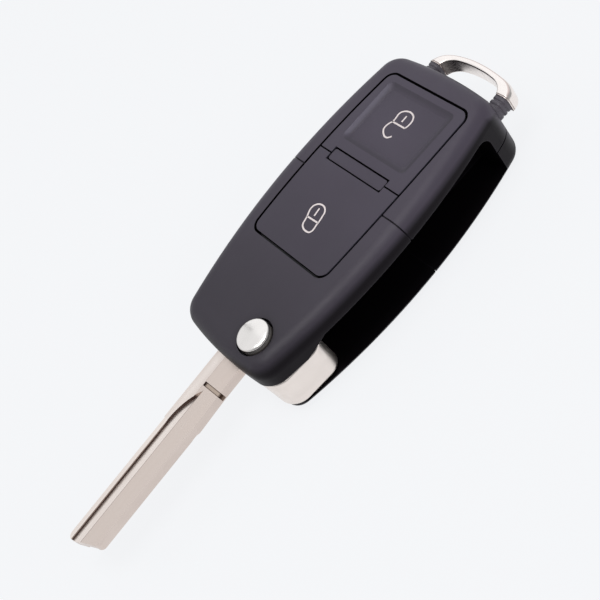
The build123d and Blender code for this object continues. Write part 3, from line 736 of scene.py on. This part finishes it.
# Printed signs: a stroke's section, its sides in half widths, and each padlock's lines from above
PRINT_WIDTH, PRINT_HIGH, PRINT_FLAT = 0.36, 0.02, 0.92
PRINT_SECTION = (
    (-1, -PRINT_HIGH), (-PRINT_FLAT, PRINT_HIGH), (PRINT_FLAT, PRINT_HIGH), (1, -PRINT_HIGH))
LOCK_LINES = (
    [(23.12, 10.59), (24.32, 11.18), (25.28, 11.22), (26.03, 10.74), (26.41, 9.92),
     (26.41, 9.03), (26.06, 8.28), (25.5, 7.81), (24.78, 7.6), (24, 7.41), (23.26, 7.26)],
    [(23.26, 7.26), (23.12, 10.59)],
    [(23.12, 10.59), (22.41, 10.39), (21.58, 10.14), (21.05, 9.6), (20.74, 8.69),
     (20.83, 7.55), (21.36, 7.09), (22.05, 7.09), (22.72, 7.25), (23.26, 7.26)],
    [(25.63, 9.56), (23.92, 9.28)],
)
UNLOCK_LINES = (
    [(47.06, 11.02), (47.88, 11.06), (48.94, 11.2), (49.68, 10.82), (50.16, 10),
     (50.29, 8.97), (49.95, 7.95), (49.25, 7.38), (48.49, 7.23), (47.77, 7.28), (47.1, 7.5)],
    [(47.1, 7.5), (47.06, 11.13)],
    [(47.06, 11.02), (46.6, 11.38), (45.76, 11.65), (44.97, 11.54),
     (44.3, 10.91), (43.86, 10.1), (43.9, 9.3), (44.52, 8.62)],
    [(49.31, 9.26), (47.86, 9.2)],
)


def printed_padlock(name, body, z, lines):
    """A padlock sign printed on a push button, each line a thin raised ribbon."""
    mesh = bmesh.new()
    for line in map(smooth_line, lines):
        rows = []
        for i, point in enumerate(line):
            ahead = (line[min(i + 1, len(line) - 1)] - line[max(i - 1, 0)]).normalized()
            side = Vector((-ahead.y, ahead.x)) * PRINT_WIDTH / 2
            rows.append([mesh.verts.new(at(*(point + side * k), z + up)) for k, up in PRINT_SECTION])
        skin(mesh, rows, smooth=False)
    new_piece(name, mesh, INK, body)


key_ring_loop()
ring_sleeves()
release_cap()
printed_padlock("lock_print", "lock_key", CASE_TOP, LOCK_LINES)
printed_padlock("unlock_print", "unlock_key", PAD_BED, UNLOCK_LINES)


# Studio: pale floor and room, a soft box overhead, a weaker one behind and a fill in front

BACKDROP = (0.932, 0.942, 0.961)
ROOM = (0.905, 0.925, 0.945)
ROOM_LIGHT = 0.45                           # strength of the room as a light on matt faces
MIRROR_DIM, MIRROR_SPAN = 0.38, 0.64        # strength of its mirror image, and what the panels add
BEHIND_FADE, BEHIND_LIFT = (-0.1, 0.65), 0.6        # it brightens from the camera's side to the back
HORIZON_FADE, HORIZON_LEAST = (0.0, 0.30), 0.1      # and from the horizon upwards
PANEL_JOIN, PANEL_STRENGTHS = (0.03, 0.07), (0.97, 1.24)
SEAM_X, SEAM_HALF, SEAM_SOFT = 0.045, 0.012, 0.008
SEAM_TOP = (0.72, 0.66)
FLOOR_SIZE, FLOOR_GAP = 3.0, 0.00005        # in metres
FLOOR_GLOW = 0.9                            # the backdrop's share in what is seen of the floor


def is_mirrored(tree, path):
    """One for what shiny and clear faces see."""
    return larger(tree, path.outputs["Is Glossy Ray"], path.outputs["Is Transmission Ray"])


def floor_paint():
    """Matt pale floor that the camera and shiny faces see as the backdrop."""
    made, tree, shader = new_finish("pale_floor", Roughness=0.9, Specular_IOR_Level=0.1)
    noise = put(tree, "ShaderNodeTexNoise", Scale=30.0, Detail=3.0)
    coated(tree, shader, (0.84, 0.855, 0.87), (times(tree, noise.outputs["Fac"], 0.06), (0.78, 0.80, 0.82)))
    glow = put(tree, "ShaderNodeEmission", Color=(*BACKDROP, 1.0), Strength=1.0)
    path = tree.nodes.new("ShaderNodeLightPath")
    seen = larger(tree, path.outputs["Is Camera Ray"], is_mirrored(tree, path))
    mixed = tree.nodes.new("ShaderNodeMixShader")
    fill(tree, mixed.inputs[0], times(tree, seen, FLOOR_GLOW))
    fill(tree, mixed.inputs[1], shader.outputs[0])
    fill(tree, mixed.inputs[2], glow.outputs[0])
    fill(tree, tree.nodes["Material Output"].inputs["Surface"], mixed.outputs[0])
    return made


def floor_sheet():
    """A wide flat sheet just under the object."""
    mesh = bmesh.new()
    bmesh.ops.create_grid(mesh, x_segments=1, y_segments=1, size=FLOOR_SIZE)
    data = bpy.data.meshes.new("floor")
    mesh.to_mesh(data)
    mesh.free()
    data.materials.append(floor_paint())
    made = bpy.data.objects.new("floor", data)
    made.location.z = -FLOOR_GAP
    bpy.context.scene.collection.objects.link(made)


def studio_room():
    """Pale room: two bright panels behind the object, a dark seam between them, dim towards the camera."""
    world = bpy.data.worlds.new("studio")
    world.use_nodes = True
    bpy.context.scene.world = world
    sky = world.node_tree
    back = sky.nodes["Background"]
    back.inputs["Color"].default_value = (*ROOM, 1.0)
    way = parts_of(sky, sky.nodes.new("ShaderNodeTexCoord").outputs["Generated"])
    behind = spread(sky, plus(sky, way["Y"], way["Z"], BEHIND_LIFT), *BEHIND_FADE)
    over_floor = spread(sky, way["Z"], *HORIZON_FADE, HORIZON_LEAST, 1.0)
    panels = spread(sky, way["X"], *PANEL_JOIN, *PANEL_STRENGTHS)
    seam = close_to(sky, way["X"], SEAM_X, SEAM_HALF, SEAM_SOFT)
    seam = times(sky, seam, spread(sky, way["Z"], *SEAM_TOP))
    panels = times(sky, panels, sums(sky, "SUBTRACT", 1.0, seam))
    mirrored = plus(sky, MIRROR_DIM, times(sky, behind, over_floor, panels), MIRROR_SPAN)
    path = sky.nodes.new("ShaderNodeLightPath")
    strength = plus(sky, ROOM_LIGHT, is_mirrored(sky, path), sums(sky, "SUBTRACT", mirrored, ROOM_LIGHT))
    strength = plus(sky, strength, path.outputs["Is Camera Ray"], sums(sky, "SUBTRACT", 1.0, strength))
    fill(sky, back.inputs["Strength"], strength)


def soft_box(name, where, aim, size, power, mirrored):
    """A square lamp at a point, turned towards another, both in millimetres; metal may show it."""
    lamp = bpy.data.lights.new(name, "AREA")
    lamp.shape = "SQUARE"
    lamp.size = size * MM
    lamp.energy = power
    made = bpy.data.objects.new(name, lamp)
    made.location = at(*where)
    made.rotation_mode = "QUATERNION"
    made.rotation_quaternion = (at(*aim) - at(*where)).to_track_quat("-Z", "Y")
    made.visible_glossy = mirrored
    bpy.context.scene.collection.objects.link(made)


floor_sheet()
studio_room()
soft_box("overhead", (20, 0, 420), aim=(20, 8, 0), size=230, power=0.62, mirrored=True)
soft_box("behind_left", (-180, 260, 260), aim=(10, 8, 0), size=160, power=0.18, mirrored=False)
soft_box("front_fill", (120, -320, 160), aim=(10, 8, 0), size=200, power=0.35, mirrored=False)


# Camera at the photograph's viewing angle

EYE = (-0.974, -154.722, 176.522)
EYE_TURN = (33.889, 29.26, -40.238)         # in degrees about X, then Y, then Z
LENS, SENSOR_WIDTH = 74.981, 36.0


def photo_camera():
    """The camera that was fitted to the photograph's outline."""
    eye = bpy.data.cameras.new("camera")
    eye.lens, eye.sensor_width = LENS, SENSOR_WIDTH
    eye.clip_start, eye.clip_end = 0.01, 20.0
    made = bpy.data.objects.new("camera", eye)
    turn = Euler([math.radians(angle) for angle in EYE_TURN])
    made.matrix_world = Matrix.LocRotScale(at(*EYE), turn, None)
    bpy.context.scene.collection.objects.link(made)
    bpy.context.scene.camera = made


photo_camera()
bpy.context.scene.view_settings.view_transform = "Standard"
